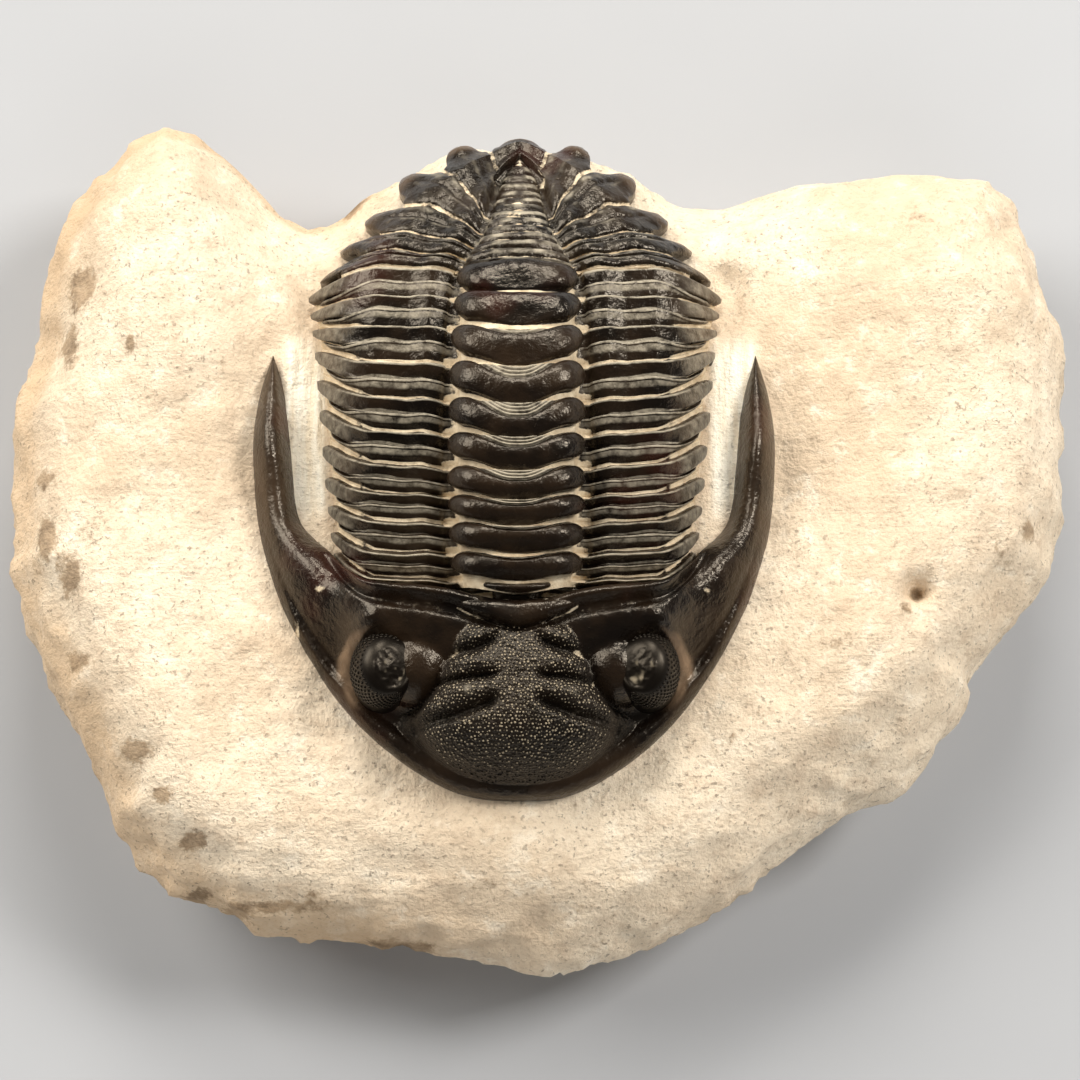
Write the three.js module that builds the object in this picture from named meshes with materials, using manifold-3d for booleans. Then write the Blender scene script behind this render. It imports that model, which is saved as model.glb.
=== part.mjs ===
// A trilobite fossil on its slab of limestone: the head shield, eleven body segments and the tail
// shield are separate plates, as they were in the living animal, and they sit in a shallow recess
// of the prepared stone.
// Millimetres, +Z up. The origin is the middle of the slab's flat base. The head points to -Y and
// the tail to +Y.

import * as THREE from 'three';
import { mergeVertices } from 'three/addons/utils/BufferGeometryUtils.js';
import Module from 'manifold-3d';

const wasm = await Module();
wasm.setup();

// Driving dimensions of the slab

const STONE_OUTLINE = [ // the slab's widest line, seen from above
  [41.65, 7.7], [41.65, 17.1], [39.3, 23.6], [38.1, 27.3], [36, 29.5], [25.9, 30.1], [15.7, 28.1],
  [12.1, 27.8], [7, 30.8], [1.2, 32.7], [-7.3, 33.1], [-10.9, 30.8], [-14.5, 28], [-18.5, 26.2],
  [-22.4, 28.7], [-27.2, 33.1], [-30, 33.8], [-32.8, 32.3], [-37.7, 26.9], [-39.9, 18.5],
  [-41.9, 7.5], [-41.1, -3.9], [-37.4, -12.6], [-32.9, -20.8], [-29.6, -26.6], [-21.2, -30.8],
  [-9.5, -32.1], [0.4, -33.7], [9.4, -31.2], [19.7, -24.1], [26.8, -20.6], [33.3, -13.6],
  [33.7, -10.9], [39.4, -3.1],
];
const STONE_CENTRE = [-8, 1];
const STONE_EDGE_Z = 8.5; // height of the widest line
const STONE_LEVEL = 17; // the prepared surface round the fossil
const STONE_ROUNDING = 8.5; // how far in from the widest line the top has rounded up to its level
const TAIL_ROUNDING = { at: [-2, 33], reach: 13, radius: 3.4 }; // tighter behind the tail
const BASE_INSET = 0.09; // how much the base is narrower than the widest line, as a share
const SWELLS = [ // where the top stands above or below its level: middle, reach along X and Y, rise
  { at: [-30, 17], reach: [8, 15], rise: 3 },
  { at: [29, 16], reach: [10, 14], rise: 2.2 },
  { at: [-18, 29], reach: [7, 9], rise: -3.4 },
  { at: [13, 29], reach: [5, 7], rise: -2.5 },
  { at: [-2, 33], reach: [15, 13], rise: -4.6 },
  { at: [-30, -12], reach: [12, 14], rise: 0.8 },
  { at: [3, -31], reach: [24, 9], rise: -2.2 },
  { at: [24, -8], reach: [9, 9], rise: 0.9 },
  { at: [28, -3], reach: [2.2, 2.2], rise: -1.6 },
];

// Driving dimensions of the fossil

const AXIS_X = -1.6; // the fossil's midline on the slab
const SEAT_Z = 15; // floor of the recess under the head and body
const TAIL_SEAT_Z = 12; // floor of the recess under the tail
const SEATING = 0.3; // clearance between the stone's recess and the plates
const CUT_TOP_Z = 40; // above everything
const LEAN = 0.02; // the fossil lies a little over to its right, so its left side shows wider

const SEGMENTS = 11;
const PLATE_GAP = 0.07; // half the gap between neighbouring plates, as a share of their spacing
// Stations 1 to 11 are the body segments, 0 the last ring of the head and 12 the first of the tail.
const RING_Y = [-9.6, -7.9, -6.2, -4.2, -2.2, -0.2, 2.2, 4.8, 7.6, 10.5, 13.5, 16.5, 19.4];
const TIP_Y = [-5.1, -3.8, -2.3, -0.4, 1.7, 4.2, 6.9, 9.5, 11.9, 13.9, 15.5, 17.1, 18.9];
const CREST_Z = 27.5; // highest point of the back
const CREST_Y = 4;
const CREST_FALL = { ahead: 0.0148, behind: 0.021 }; // fall of the back with distance squared
const RING_HEIGHT = 3; // the rings stand this far above the furrows beside them
const RING_HALF_WIDTH = 5.2;
const FULCRUM_X = 10.4; // where the ribs bend down
const TIP_Z = 18.6;

const HEAD_MARGIN = [ // right half of the head's outer edge, from the cheek spine's tip to the front
  [18.45, 12.5], [19.5, 8.8], [19.9, 4.5], [19.1, -2.5], [16.4, -9.5], [11.6, -16.3], [5.5, -20.8],
  [0, -21.85],
];
const SPINE_INNER = [[18.45, 12.5], [17.35, 8], [16.6, 3.2], [15.7, -0.2]]; // inner edge of the spine
const HEAD_REAR = [1.1, 0.8, 0.44, 0]; // where the head's rear edge meets the body, across half of it
const HEAD_FOOT_Z = 16; // the head's edge, just below the stone's surface
const SPINE_FOOT_Z = 17.2; // the cheek spines' tips lie on the surface
const RIM = { height: 1.9, share: 0.1 };
const CHEEK_RISE = 3.2;
const REAR_BAND = { rise: 0.9, furrow: 1 }; // raised band along the head's rear edge
// Swellings of the head's middle: centre and half-sizes; those off the midline come in pairs.
const SWELLINGS = {
  brow: { at: [0, -15.7, 17], half: [7.6, 5.9, 6.5] },
  ridge: { at: [0, -12.4, 20.6], half: [2.5, 3.4, 3.7] },
  thirdLobe: { at: [3.7, -15, 20.6], half: [2.8, 1.05, 2.9] },
  secondLobe: { at: [3.3, -13, 20.8], half: [2.4, 1.05, 3.1] },
  firstLobe: { at: [2.7, -11.3, 21.2], half: [1.5, 0.75, 2.4] },
  neckRing: { at: [0, -9.85, 21.6], half: [4.5, 0.95, 3.3] },
};
const EYE = { at: [9.8, -12.6], stretch: 1.12 };
const EYE_PROFILE = [ // [radius, height]: the socket, the bulging lens band, its rim and the lid
  [0, 17], [3.4, 17], [3.3, 19.3], [2.75, 19.9], [2.8, 20.8], [2.65, 22], [2.3, 23.1], [1.9, 23.5],
  [1.4, 22.8], [0, 23.2],
];

const TAIL_CREST = [[17.95, 23.4], [21, 21.6], [24.3, 19], [27.4, 16], [29.6, 13.8]]; // [y, z]
const TAIL_SPINES = [ // tips of the right half, front to back
  [15.06, 19, 15.6], [13.66, 21.6, 15], [11.8, 24.4, 14.3], [9.1, 28.2, 13.6], [4.9, 31.1, 13.1],
  [0, 32, 12.8],
];
const SPINE_PAIRS = 5;
const SPINE_CUT = 0.42; // depth of the notches between the tail's spines, as a share of its outer band
const TAIL_AXIS = { front: 4.3, taper: 0.5, height: 2.6, rings: 9 };

// Small helpers

const bell = (d) => Math.exp(-d * d);
const clamp = (t) => Math.min(1, Math.max(0, t));
const mix = (a, b, t) => a + (b - a) * t;
const smooth = (a, b, t) => {
  const s = clamp((t - a) / (b - a));
  return s * s * (3 - 2 * s);
};
const spread = (count, from = 0, to = 1) =>
  Array.from({ length: count + 1 }, (_, i) => mix(from, to, i / count));
const curve = (points, closed = false) => new THREE.CatmullRomCurve3(
  points.map(([x, y, z = 0]) => new THREE.Vector3(x, y, z)), closed, 'catmullrom', 0.5);
const mirrored = (half) => [...half, ...half.slice(0, -1).reverse().map(([x, ...rest]) => [-x, ...rest])];

// A value of a list read at a fractional place.
function along(list, place) {
  const i = Math.min(list.length - 2, Math.max(0, Math.floor(place)));
  return mix(list[i], list[i + 1], place - i);
}

// A closed mesh of shared vertices becomes a solid facing out, without its collapsed triangles.
function solidOf(points, triangles) {
  const geometry = new THREE.BufferGeometry();
  geometry.setAttribute('position', new THREE.Float32BufferAttribute(points.flat(), 3));
  geometry.setIndex(triangles.flat());
  const merged = mergeVertices(geometry, 1e-4);
  const index = merged.index.array;
  const build = (flip) => {
    const triVerts = [];
    for (let i = 0; i < index.length; i += 3) {
      const [a, b, c] = [index[i], index[i + 1], index[i + 2]];
      if (a !== b && b !== c && c !== a) triVerts.push(a, flip ? c : b, flip ? b : c);
    }
    return new wasm.Manifold(new wasm.Mesh({
      numProp: 3,
      vertProperties: merged.getAttribute('position').array,
      triVerts: new Uint32Array(triVerts),
    }));
  };
  const made = build(false);
  return made.volume() > 0 ? made : build(true);
}

// The solid under a surface: a grid of its points over columns and rows, an underside on the same
// columns and on the rows it needs (its first and last unless given), and walls round its open sides.
function solidUnder({ columns, rows, surface, underside, baseRows, startWall = true, endWall = true }) {
  const points = [];
  const grid = columns.map((u) => rows.map((v) => points.push(surface(u, v)) - 1));
  const lowRows = baseRows ?? [rows[0], rows.at(-1)];
  const base = columns.map((u) => lowRows.map((v) => points.push(underside(u, v)) - 1));
  const triangles = [];
  const quad = (a, b, c, d) => triangles.push([a, b, c], [a, c, d]);
  const last = rows.length - 1;
  const low = lowRows.length - 1;
  for (let i = 0; i + 1 < columns.length; i++) {
    for (let j = 0; j < last; j++) quad(grid[i][j], grid[i + 1][j], grid[i + 1][j + 1], grid[i][j + 1]);
    for (let j = 0; j < low; j++) quad(base[i][j], base[i][j + 1], base[i + 1][j + 1], base[i + 1][j]);
    quad(grid[i][0], base[i][0], base[i + 1][0], grid[i + 1][0]);
    quad(grid[i][last], grid[i + 1][last], base[i + 1][low], base[i][low]);
  }
  const endOf = (i, flip) => {
    const wall = [];
    let k = 0;
    for (let j = 0; j < last; j++) {
      wall.push([base[i][k], grid[i][j], grid[i][j + 1]]);
      for (; k < Math.round(low * (j + 1) / last); k++) {
        wall.push([base[i][k], grid[i][j + 1], base[i][k + 1]]);
      }
    }
    triangles.push(...(flip ? wall.map(([a, b, c]) => [a, c, b]) : wall));
  };
  if (startWall) endOf(0, false);
  if (endWall) endOf(columns.length - 1, true);
  return solidOf(points, triangles);
}

function meshOf(solid, name, material) {
  const { numProp, vertProperties, triVerts } = solid.getMesh();
  const positions = [];
  for (let i = 0; i < vertProperties.length; i += numProp) {
    positions.push(vertProperties[i], vertProperties[i + 1], vertProperties[i + 2]);
  }
  const geometry = new THREE.BufferGeometry();
  geometry.setAttribute('position', new THREE.Float32BufferAttribute(positions, 3));
  geometry.setIndex([...triVerts]);
  geometry.computeVertexNormals();
  const mesh = new THREE.Mesh(geometry, material);
  mesh.name = name;
  return mesh;
}

// The fossil's own x runs from its midline; its right side is drawn in a little and its left out.
const placed = (x, y, z) => [AXIS_X + x * (1 - LEAN * Math.sign(x)), y, z];

// The back: how high the rings stand, and how steeply they tip

const crestFall = (y) => (y < CREST_Y ? CREST_FALL.ahead : CREST_FALL.behind);
const crestZ = (y) => CREST_Z - crestFall(y) * (y - CREST_Y) ** 2;
const crestTilt = (y) => Math.atan(-2 * crestFall(y) * (y - CREST_Y));

// One rib from the midline to its tip, as the lines it hangs on at a station of the body.
function bodyRib(station) {
  const y = along(RING_Y, station);
  const z = crestZ(y);
  const tilt = crestTilt(y);
  const forward = RING_HEIGHT * Math.sin(tilt);
  const drop = RING_HEIGHT * Math.cos(tilt);
  const tipFall = station < 6 ? 0.014 : 0.09;
  return {
    halfWidth: RING_HALF_WIDTH - 0.02 * (station - 6) ** 2,
    crest: [y, z],
    furrow: [y + forward, z - drop],
    fulcrum: [FULCRUM_X, y + 0.6 + forward, z - 1.1 * drop],
    tip: [13.5 + 0.24 * (station - 1), along(TIP_Y, station), TIP_Z - tipFall * (station - 6) ** 2],
  };
}

const RING_SHARE = 0.36; // the ring takes this much of a rib's half, the flat stretch up to BEND_SHARE
const BEND_SHARE = 0.68;

// A point of a rib: across runs from -1 at the left tip to 1 at the right tip.
function ribPoint({ halfWidth, crest, furrow, fulcrum, tip }, across, reach = 1) {
  const side = Math.sign(across);
  const q = Math.abs(across);
  if (q <= RING_SHARE) {
    const t = q / RING_SHARE;
    const fall = (1 - Math.sqrt(1 - 0.96 * t ** 2.4)) / 0.8;
    return [side * halfWidth * t, mix(crest[0], furrow[0], t * t), mix(crest[1], furrow[1], fall)];
  }
  if (q <= BEND_SHARE) {
    const t = (q - RING_SHARE) / (BEND_SHARE - RING_SHARE);
    const hump = 0.5 * Math.sin(Math.PI * Math.min(1, 1.6 * t));
    const z = mix(furrow[1], fulcrum[2], t) + hump;
    return [side * mix(halfWidth, fulcrum[0], t), mix(furrow[0], fulcrum[1], t), z];
  }
  const t = reach * (q - BEND_SHARE) / (1 - BEND_SHARE);
  const y = mix(fulcrum[1], tip[1], t ** 1.2);
  return [side * mix(fulcrum[0], tip[0], t), y, mix(fulcrum[2], tip[2], t ** 1.7)];
}

// The slab

const stoneEdge = curve(STONE_OUTLINE, true);

function stoneTop(x, y) {
  return SWELLS.reduce(
    (z, { at, reach, rise }) => z + rise * bell(Math.hypot((x - at[0]) / reach[0], (y - at[1]) / reach[1])),
    STONE_LEVEL);
}

// Share of its full height that the top has reached at a point, by its distance to the widest line.
function stoneRounding(x, y) {
  const distance = Math.min(...STONE_OUTLINE.map(([ax, ay], i) => {
    const [bx, by] = STONE_OUTLINE[(i + 1) % STONE_OUTLINE.length];
    const t = clamp(((x - ax) * (bx - ax) + (y - ay) * (by - ay)) / ((bx - ax) ** 2 + (by - ay) ** 2));
    return Math.hypot(x - mix(ax, bx, t), y - mix(ay, by, t));
  }));
  const { at, reach, radius } = TAIL_ROUNDING;
  const near = bell(Math.hypot(x - at[0], y - at[1]) / reach);
  const left = 1 - Math.min(1, distance / mix(STONE_ROUNDING, radius, near));
  return Math.sqrt(1 - left * left);
}

// Depth runs from 0 at the middle of the top, through 1 at the widest line, to 2 at the base's edge.
function stonePoint(turn, depth) {
  const edge = stoneEdge.getPointAt(turn % 1);
  const share = depth <= 1 ? depth : 1 - BASE_INSET * (depth - 1) ** 1.5;
  const x = mix(STONE_CENTRE[0], edge.x, share);
  const y = mix(STONE_CENTRE[1], edge.y, share);
  if (depth > 1) return [x, y, STONE_EDGE_Z * (2 - depth)];
  if (depth === 1) return [x, y, STONE_EDGE_Z];
  return [x, y, mix(STONE_EDGE_Z, stoneTop(x, y), stoneRounding(x, y))];
}

const stoneSolid = () => solidUnder({
  columns: spread(56),
  rows: [0, 0.4, 0.62, 0.74, 0.82, 0.89, 0.94, 0.98, 1, 1.45, 2],
  surface: stonePoint,
  underside: (turn, depth) => (depth ? stonePoint(turn, depth) : [...STONE_CENTRE, 0]),
  startWall: false,
  endWall: false,
});

// The head shield

const headOuter = curve(mirrored(HEAD_MARGIN));
const rearPoint = (across) => ribPoint(bodyRib(0.5 - PLATE_GAP), across);
const spineInner = curve([...SPINE_INNER, rearPoint(HEAD_REAR[0]).slice(0, 2)]);

// The inner edge runs up the cheek spine and then along the front of the first body segment.
function headInner(turn) {
  const side = turn <= 0.5 ? 1 : -1;
  const place = (HEAD_MARGIN.length - 1) * (1 - Math.abs(2 * turn - 1));
  const onSpine = place < SPINE_INNER.length;
  const edge = onSpine ? spineInner.getPoint(place / SPINE_INNER.length).toArray()
    : rearPoint(along(HEAD_REAR, place - SPINE_INNER.length));
  return new THREE.Vector3(side * edge[0], edge[1], 0);
}

// The head is drawn between its outer edge, inward 0, and its rear edge, inward 1.
function headPlan(turn, inward, clearance = 0) {
  const a = headOuter.getPoint(turn);
  const b = headInner(turn);
  const width = Math.max(a.distanceTo(b), 1e-6);
  const grow = clearance / width;
  const share = mix(-grow, 1 + grow, inward);
  return { x: mix(a.x, b.x, share), y: mix(a.y, b.y, share), width };
}

function headTop(turn, inward) {
  const { x, y, width } = headPlan(turn, inward);
  const forward = 1 - Math.abs(2 * turn - 1); // 0 at the spines' tips, 1 at the front
  const foot = mix(SPINE_FOOT_Z, HEAD_FOOT_Z, smooth(0, 0.4, forward));
  const spine = foot + 0.8 * width * Math.sin(Math.PI * inward) ** 0.7;
  const rim = RIM.height * Math.sqrt(1 - (1 - Math.min(1, inward / RIM.share)) ** 2);
  const band = REAR_BAND.rise * bell((inward - 0.94) / 0.05);
  const furrow = REAR_BAND.furrow * bell((inward - 0.84) / 0.05);
  const cheek = HEAD_FOOT_Z + rim + CHEEK_RISE * smooth(0.16, 0.75, inward) + band - furrow;
  return placed(x, y, mix(spine, cheek, smooth(0.4, 0.7, forward)));
}

const headTurns = spread(44);
const headShield = () => solidUnder({
  columns: headTurns,
  rows: [0, 0.04, 0.1, 0.2, 0.4, 0.6, 0.74, 0.84, 0.9, 0.95, 1],
  surface: headTop,
  underside: (turn, inward) => {
    const { x, y } = headPlan(turn, inward);
    return placed(x, y, SEAT_Z);
  },
});

const pair = ([x, ...rest]) => (x ? [[x, ...rest], [-x, ...rest]] : [[x, ...rest]]);

const swelling = ({ at, half }) => pair(at).map((middle) =>
  wasm.Manifold.sphere(1, half[0] > 5 ? 24 : 12).scale(half).translate(placed(...middle)));

const eyeSolids = () => pair([...EYE.at, 0]).map((middle) =>
  wasm.Manifold.revolve([EYE_PROFILE], 16).scale([1, EYE.stretch, 1]).translate(placed(...middle)));

const headSolid = () => wasm.Manifold
  .union([headShield(), ...Object.values(SWELLINGS).flatMap(swelling), ...eyeSolids()])
  .trimByPlane([0, 0, 1], SEAT_Z);

const headSeat = () => {
  const at = (turn, inward, z) => {
    const { x, y } = headPlan(turn, inward, SEATING);
    return placed(x, y, z);
  };
  return solidUnder({
    columns: headTurns,
    rows: [0, 1],
    surface: (turn, inward) => at(turn, inward, CUT_TOP_Z),
    underside: (turn, inward) => at(turn, inward, SEAT_Z),
  });
};

// The body segments

const bothSides = (half) => [...half.slice(1).reverse().map((q) => -q), ...half];
const ribStations = bothSides([0, 0.13, 0.25, 0.33, 0.38, 0.52, 0.68, 0.78, 0.89, 1]);

// Height of a segment's relief at a share of its length, -0.5 at its front edge to 0.5 at its rear:
// a rounded ring in the middle, and two bands with a furrow between them on each rib.
function segmentRelief(across, share) {
  const ring = 1 - smooth(RING_SHARE - 0.02, RING_SHARE + 0.02, Math.abs(across));
  const ringShape = -1.3 * Math.abs(2 * (share - 0.06)) ** 2.5;
  const ribShape = -0.75 * Math.abs(2 * share) ** 4 - 0.5 * bell(share / 0.1);
  return mix(ribShape, ringShape, ring);
}

function segmentSolid(number) {
  const half = 0.5 - PLATE_GAP;
  const top = (across, share) => {
    const [x, y, z] = ribPoint(bodyRib(number + share), across);
    return placed(x, y, z + segmentRelief(across, share));
  };
  return solidUnder({
    columns: ribStations,
    rows: spread(4, -half, half),
    surface: top,
    underside: (across, share) => {
      const [x, y] = top(across, share);
      return [x, y, SEAT_Z];
    },
  });
}

const bodySeat = () => {
  const at = (across, station, z) => {
    const reach = across * (1 + SEATING / FULCRUM_X);
    const [x, y] = ribPoint(bodyRib(station), reach);
    return placed(x, y, z);
  };
  return solidUnder({
    columns: ribStations,
    rows: spread(24, 0.2, SEGMENTS + 0.5),
    surface: (across, station) => at(across, station, CUT_TOP_Z),
    underside: (across, station) => at(across, station, SEAT_Z),
  });
};

// The tail shield

const tailCrest = curve(TAIL_CREST);
const tailMargin = curve([bodyRib(SEGMENTS + 0.5 + PLATE_GAP).tip, ...TAIL_SPINES]);

// Where the margin's curve passes the spines: one knot before them, then half a spine to the first.
const spineStation = (back) => (SPINE_PAIRS + 0.5) * back - 0.5; // whole at each spine's tip
const marginPlace = (back) => clamp((spineStation(back) < 0
  ? 2 * (spineStation(back) + 0.5) : spineStation(back) + 1) / (SPINE_PAIRS + 1));
const spineReach = (back) => 1 - SPINE_CUT * (1 - Math.cos(Math.PI * spineStation(back)) ** 2);

function tailRib(back) {
  const front = bodyRib(SEGMENTS + 0.5 + PLATE_GAP);
  const crest = tailCrest.getPoint(back);
  const margin = tailMargin.getPoint(marginPlace(back));
  const blunt = Math.sqrt(1 - back ** 8);
  const halfWidth = TAIL_AXIS.front * (1 - TAIL_AXIS.taper * back) * blunt;
  const height = mix(TAIL_AXIS.height, 0.6, back) * blunt;
  const furrow = [crest.x - 0.4 * height, crest.y - 0.85 * height];
  const bend = mix(0.62, 0.4, back);
  const own = {
    halfWidth,
    crest: [crest.x, crest.y],
    furrow,
    fulcrum: [
      mix(halfWidth, margin.x, bend),
      mix(furrow[0], margin.y, 0.5 * bend),
      mix(furrow[1], margin.z, 0.35 * bend),
    ],
    tip: [margin.x, margin.y, margin.z],
  };
  const early = 1 - smooth(0, 0.25, back); // the front follows on from the last body segment
  for (const line of ['crest', 'furrow', 'fulcrum']) {
    own[line] = own[line].map((value, i) => mix(value, front[line][i], early));
  }
  return own;
}

function tailTop(back, across) {
  const [x, y, z] = ribPoint(tailRib(back), across, spineReach(back));
  const q = Math.abs(across);
  const rings = 0.3 * Math.cos(2 * Math.PI * TAIL_AXIS.rings * back) * (1 - back);
  const ribs = 0.32 * Math.cos(2 * Math.PI * spineStation(back)) * (1 - 0.6 * back);
  return placed(x, y, z + (q < RING_SHARE ? rings : ribs * smooth(0.4, 0.5, q)));
}

const tailBacks = spread(33);
const tailStations = bothSides([0, 0.18, 0.32, 0.38, 0.52, 0.68, 0.79, 0.9, 1]);
const tailSolid = () => solidUnder({
  columns: tailBacks,
  rows: tailStations,
  surface: tailTop,
  underside: (back, across) => {
    const [x, y] = tailTop(back, across);
    return [x, y, TAIL_SEAT_Z];
  },
  baseRows: [-1, 0, 1],
  endWall: false,
});

const tailSeat = () => {
  const at = (back, across, z) => {
    const reach = spineReach(back) + SEATING / 3;
    const [x, y] = ribPoint(tailRib(back), across, reach);
    return placed(x, back ? y : y - SEATING, z);
  };
  return solidUnder({
    columns: tailBacks,
    rows: tailStations,
    surface: (back, across) => at(back, across, CUT_TOP_Z),
    underside: (back, across) => at(back, across, TAIL_SEAT_Z),
    baseRows: tailStations,
    endWall: false,
  });
};

// Materials and the finished group

const limestone = new THREE.MeshStandardMaterial({ color: 0xdcc8a6, roughness: 0.9, metalness: 0 });
const shell = new THREE.MeshStandardMaterial({ color: 0x2a231d, roughness: 0.35, metalness: 0 });

const stone = stoneSolid().subtract(headSeat()).subtract(bodySeat()).subtract(tailSeat());

const fossil = new THREE.Group();
fossil.add(meshOf(stone, 'limestone_matrix', limestone));
fossil.add(meshOf(headSolid(), 'cephalon', shell));
for (let number = 1; number <= SEGMENTS; number++) {
  const name = `thoracic_segment_${String(number).padStart(2, '0')}`;
  fossil.add(meshOf(segmentSolid(number), name, shell));
}
fossil.add(meshOf(tailSolid(), 'pygidium', shell));

export default fossil;
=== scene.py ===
# %% [markdown]
# # A trilobite on its slab of limestone
# The part is a natural thing: a cream slab, and on it the black armour of an animal with a head
# shield, eleven body segments and a spiny tail shield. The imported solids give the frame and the
# places. This script lays a finer surface over each of them, in the same frame, in metres.

# %% The frame
import math

import bpy
import numpy as np
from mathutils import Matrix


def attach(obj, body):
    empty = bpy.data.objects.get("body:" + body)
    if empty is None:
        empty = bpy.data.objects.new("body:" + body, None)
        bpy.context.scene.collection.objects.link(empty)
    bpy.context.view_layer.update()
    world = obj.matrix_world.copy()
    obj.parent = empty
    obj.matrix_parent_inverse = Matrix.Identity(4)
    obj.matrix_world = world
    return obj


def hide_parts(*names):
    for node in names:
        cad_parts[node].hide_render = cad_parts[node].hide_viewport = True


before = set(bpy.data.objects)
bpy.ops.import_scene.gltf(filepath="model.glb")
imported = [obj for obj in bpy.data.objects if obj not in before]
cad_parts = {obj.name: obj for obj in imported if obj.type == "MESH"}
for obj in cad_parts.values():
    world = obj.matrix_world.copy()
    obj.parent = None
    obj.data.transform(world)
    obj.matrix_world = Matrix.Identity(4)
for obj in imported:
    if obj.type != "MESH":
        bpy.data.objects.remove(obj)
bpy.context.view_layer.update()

# %% [markdown]
# ## Small tools
# Every piece is an array of points, worked out in millimetres because that is how one would
# measure the slab. A few curves and a noise made of random numbers on a lattice are enough to
# describe all of it, and they work on whole arrays at once.

# %% Curves and noise
MM = 0.001
LATTICE, OCTAVES = 32, 3


def mix(a, b, t):
    """Straight from a to b as t goes from 0 to 1."""
    return a + (b - a) * t


def smooth(a, b, t):
    """0 before a, 1 after b, and an S-shaped rise between them."""
    s = np.clip((t - a) / (b - a), 0, 1)
    return s * s * (3 - 2 * s)


def bell(d):
    """A bell: 1 in the middle, about a third at distance 1, next to nothing at 2."""
    return np.exp(-np.square(d))


def dome(d):
    """Half a circle standing on the stretch from -1 to 1, and 0 outside it."""
    return np.sqrt(np.clip(1 - np.square(d), 0, 1))


def swell(a, b, soft):
    """The higher of two heights, with the crease between them rounded over the height soft."""
    h = np.clip(0.5 + 0.5 * (a - b) / soft, 0, 1)
    return mix(b, a, h) + soft * h * (1 - h)


def spline(points, t, closed=False):
    """A smooth curve through the points: each stretch is a cubic whose slope at a point is half
    the step between that point's two neighbours. t runs from 0 to 1."""
    p = np.asarray(points, float)
    if closed:
        p = np.concatenate([p[-1:], p, p[:2]])
        place = np.mod(t, 1) * (len(p) - 3)
    else:
        p = np.concatenate([[2 * p[0] - p[1]], p, [2 * p[-1] - p[-2]]])
        place = np.clip(t, 0, 1) * (len(p) - 3)
    i = np.minimum(np.floor(place).astype(int), len(p) - 4)
    f = (place - i)[..., None] if p.ndim > 1 else place - i
    a, b, c, d = p[i], p[i + 1], p[i + 2], p[i + 3]
    return b + 0.5 * f * (c - a + f * (2 * a - 5 * b + 4 * c - d + f * (3 * (b - c) + d - a)))


def noise(x, y, z, size, seed):
    """Random heights from -1 to 1 on a lattice of the given size, blended smoothly between."""
    table = np.random.default_rng(seed).uniform(-1, 1, (LATTICE,) * 3)
    corner, part = [], []
    for v in (x, y, z):
        v = np.asarray(v, float) / size
        low = np.floor(v)
        corner.append(low.astype(int))
        part.append(smooth(0, 1, v - low))
    total = 0.0
    for step in np.ndindex(2, 2, 2):
        weight = 1.0
        for s, f in zip(step, part):
            weight = weight * (f if s else 1 - f)
        corners = tuple((c + s) % LATTICE for c, s in zip(corner, step))
        total = total + weight * table[corners]
    return total


def rough(x, y, z, size, seed):
    """Noise with finer and weaker noise added on top, each half the size and height."""
    return sum(noise(x, y, z, size / 2**k, seed + k) / 2**k for k in range(OCTAVES))


print("noise sample", round(float(rough(1.0, 2.0, 3.0, 5.0, 1)), 4))

# %% [markdown]
# ## From arrays to meshes
# A grid of points becomes a mesh by joining neighbours with quads. There are two kinds here. A
# *skin* wraps round and closes at a point at each end. A *plate* is a sheet with walls down to a
# floor, so that it is a closed solid sunk a little into the stone. Extra numbers per point, such
# as how much pale stone is left in a groove, go into named attributes that materials can read.

# %% Skins and plates


def mesh_object(name, points, faces, values):
    """Points in millimetres and lists of corners become an object at the origin."""
    mesh = bpy.data.meshes.new(name)
    mesh.from_pydata((points * MM).tolist(), [], faces)
    for key, value in values.items():
        layer = mesh.attributes.new(key, "FLOAT", "POINT")
        layer.data.foreach_set("value", np.asarray(value, np.float32).ravel())
    mesh.polygons.foreach_set("use_smooth", np.ones(len(mesh.polygons), bool))
    mesh.validate()
    mesh.update()
    made = bpy.data.objects.new(name, mesh)
    bpy.context.scene.collection.objects.link(made)
    return made


def quads(a):
    """The quads between neighbours of a grid of point numbers."""
    return np.stack([a[:-1, :-1], a[1:, :-1], a[1:, 1:], a[:-1, 1:]], -1).reshape(-1, 4).tolist()


def skin(name, grid, values):
    """A surface that closes on itself along its first axis and at both ends of its second."""
    count, rows = grid.shape[:2]
    ring = np.arange(count * (rows - 2)).reshape(count, rows - 2)
    start = ring.size
    ring = np.concatenate([ring, ring[:1]])
    points = np.concatenate([grid[:, 1:-1].reshape(-1, 3), grid[:1, 0], grid[:1, -1]])
    faces = quads(ring)
    faces += np.stack([ring[1:, 0], ring[:-1, 0], np.full(count, start)], -1).tolist()
    faces += np.stack([ring[:-1, -1], ring[1:, -1], np.full(count, start + 1)], -1).tolist()
    flat = {k: np.append(v[:, 1:-1], [v[0, 0], v[0, -1]]) for k, v in values.items()}
    return mesh_object(name, points, [f[::-1] for f in faces], flat)


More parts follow.
